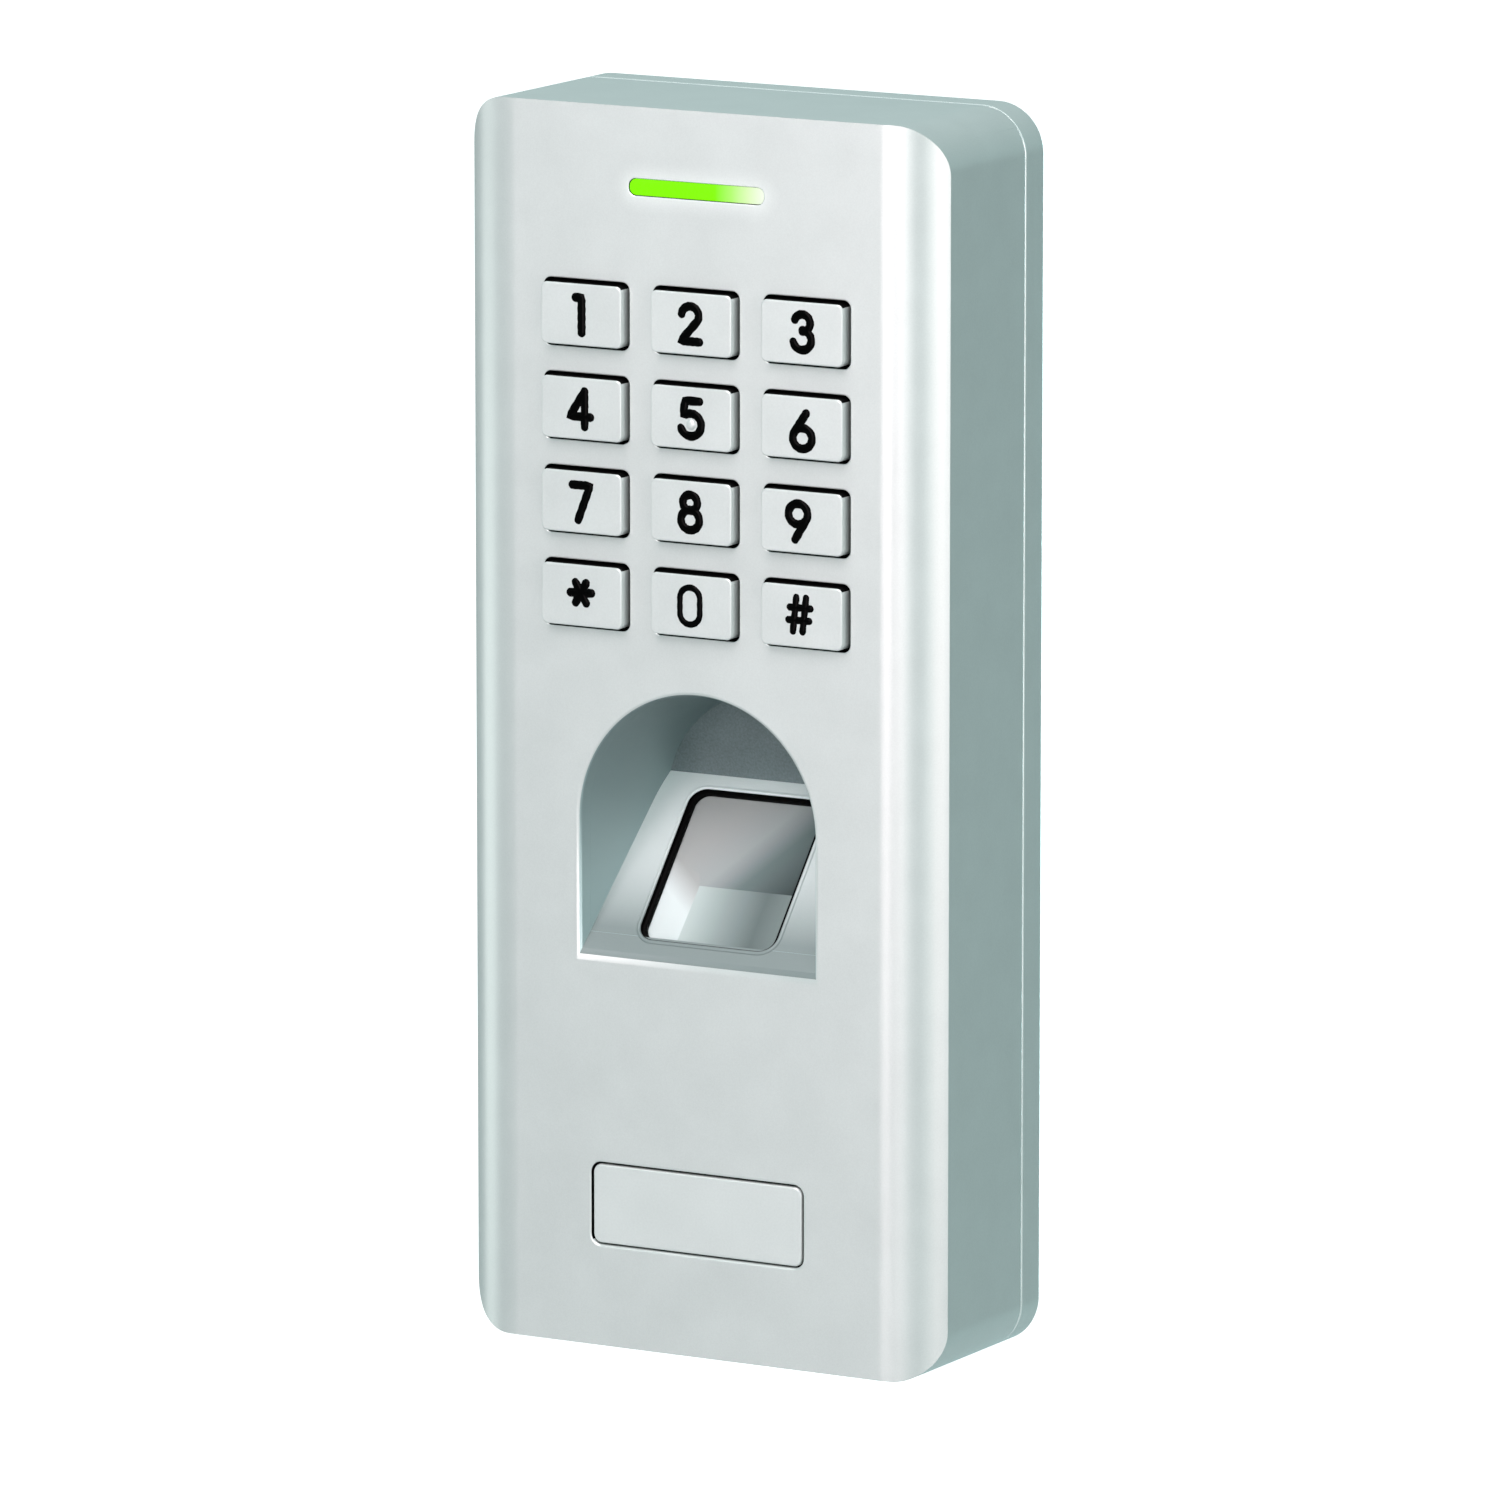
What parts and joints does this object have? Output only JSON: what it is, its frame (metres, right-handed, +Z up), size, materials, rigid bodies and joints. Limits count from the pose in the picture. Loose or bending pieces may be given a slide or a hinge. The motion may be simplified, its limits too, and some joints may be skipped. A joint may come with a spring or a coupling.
{
  "type": "fingerprint scanner terminal",
  "caption": "Slim wall-mounted access terminal: rolled silver housing, raised metal keypad, status light bar and an arched finger recess over a sloping glass sensor.",
  "frame": {"origin": "centre of the wall plate's rear face, on the wall", "axes": "+Z up along the height, -Y out of the front towards the user, +X to the right seen from the front"},
  "size_m": [0.0648, 0.0279, 0.1504],
  "materials": {
    "satin_silver": "satin pearl silver paint on die casting",
    "key_metal": "satin cast metal with black filled numerals",
    "recess_grey": "fine grained grey",
    "gasket_black": "matt",
    "prism_glass": "polished optical glass",
    "black_plastic": "moulded",
    "board": "solder mask",
    "led": "clear encapsulated",
    "status_bar": "lit diffuser, green fading to white",
    "screw_steel": "zinc plated",
    "brass_pillar": "turned",
    "relay_blue": "moulded",
    "can": "drawn can",
    "connector": "moulded",
    "ribbon": "polyimide film",
    "plate_silver": "satin, blank"
  },
  "bodies": {
    "terminal": {"front_housing": "satin_silver", "finger_recess": "recess_grey", "sensor_gasket": "gasket_black", "sensor_prism": "prism_glass", "sensor_body": "black_plastic", "sensor_board": "board", "sensor_camera": "black_plastic", "sensor_lights": "led", "sensor_screws": "screw_steel", "recess_screws": "screw_steel", "light_bar": "status_bar", "status_lights": "led", "nameplate": "plate_silver", "keypad_mat": "gasket_black", "keypad_board": "board", "backlights": "led", "board_pillars": "brass_pillar", "board_screws": "screw_steel", "board_header": "black_plastic", "main_board": "board", "chips": "black_plastic", "relay": "relay_blue", "buzzer": "black_plastic", "capacitors": "can", "wire_header": "connector", "tamper_sensor": "black_plastic", "sensor_ribbon": "ribbon", "rear_cover": "black_plastic", "cover_seal": "gasket_black", "cover_screws": "screw_steel", "cable_grommet": "gasket_black", "wall_plate": "satin_silver", "lock_screw": "screw_steel"},
    "key_1": {"key_1": "key_metal"},
    "key_2": {"key_2": "key_metal"},
    "key_3": {"key_3": "key_metal"},
    "key_4": {"key_4": "key_metal"},
    "key_5": {"key_5": "key_metal"},
    "key_6": {"key_6": "key_metal"},
    "key_7": {"key_7": "key_metal"},
    "key_8": {"key_8": "key_metal"},
    "key_9": {"key_9": "key_metal"},
    "key_star": {"key_star": "key_metal"},
    "key_0": {"key_0": "key_metal"},
    "key_hash": {"key_hash": "key_metal"}
  },
  "joints": [
    {"name": "key_1_press", "type": "slide", "parent": "terminal", "child": "key_1", "axis": [0, 1, 0], "range_m": [0, 0.0008], "stiffness_N_per_m": 1500, "deforming": ["keypad_mat"]},
    {"name": "key_2_press", "type": "slide", "parent": "terminal", "child": "key_2", "axis": [0, 1, 0], "range_m": [0, 0.0008], "stiffness_N_per_m": 1500, "deforming": ["keypad_mat"]},
    {"name": "key_3_press", "type": "slide", "parent": "terminal", "child": "key_3", "axis": [0, 1, 0], "range_m": [0, 0.0008], "stiffness_N_per_m": 1500, "deforming": ["keypad_mat"]},
    {"name": "key_4_press", "type": "slide", "parent": "terminal", "child": "key_4", "axis": [0, 1, 0], "range_m": [0, 0.0008], "stiffness_N_per_m": 1500, "deforming": ["keypad_mat"]},
    {"name": "key_5_press", "type": "slide", "parent": "terminal", "child": "key_5", "axis": [0, 1, 0], "range_m": [0, 0.0008], "stiffness_N_per_m": 1500, "deforming": ["keypad_mat"]},
    {"name": "key_6_press", "type": "slide", "parent": "terminal", "child": "key_6", "axis": [0, 1, 0], "range_m": [0, 0.0008], "stiffness_N_per_m": 1500, "deforming": ["keypad_mat"]},
    {"name": "key_7_press", "type": "slide", "parent": "terminal", "child": "key_7", "axis": [0, 1, 0], "range_m": [0, 0.0008], "stiffness_N_per_m": 1500, "deforming": ["keypad_mat"]},
    {"name": "key_8_press", "type": "slide", "parent": "terminal", "child": "key_8", "axis": [0, 1, 0], "range_m": [0, 0.0008], "stiffness_N_per_m": 1500, "deforming": ["keypad_mat"]},
    {"name": "key_9_press", "type": "slide", "parent": "terminal", "child": "key_9", "axis": [0, 1, 0], "range_m": [0, 0.0008], "stiffness_N_per_m": 1500, "deforming": ["keypad_mat"]},
    {"name": "key_star_press", "type": "slide", "parent": "terminal", "child": "key_star", "axis": [0, 1, 0], "range_m": [0, 0.0008], "stiffness_N_per_m": 1500, "deforming": ["keypad_mat"]},
    {"name": "key_0_press", "type": "slide", "parent": "terminal", "child": "key_0", "axis": [0, 1, 0], "range_m": [0, 0.0008], "stiffness_N_per_m": 1500, "deforming": ["keypad_mat"]},
    {"name": "key_hash_press", "type": "slide", "parent": "terminal", "child": "key_hash", "axis": [0, 1, 0], "range_m": [0, 0.0008], "stiffness_N_per_m": 1500, "deforming": ["keypad_mat"]}
  ]
}
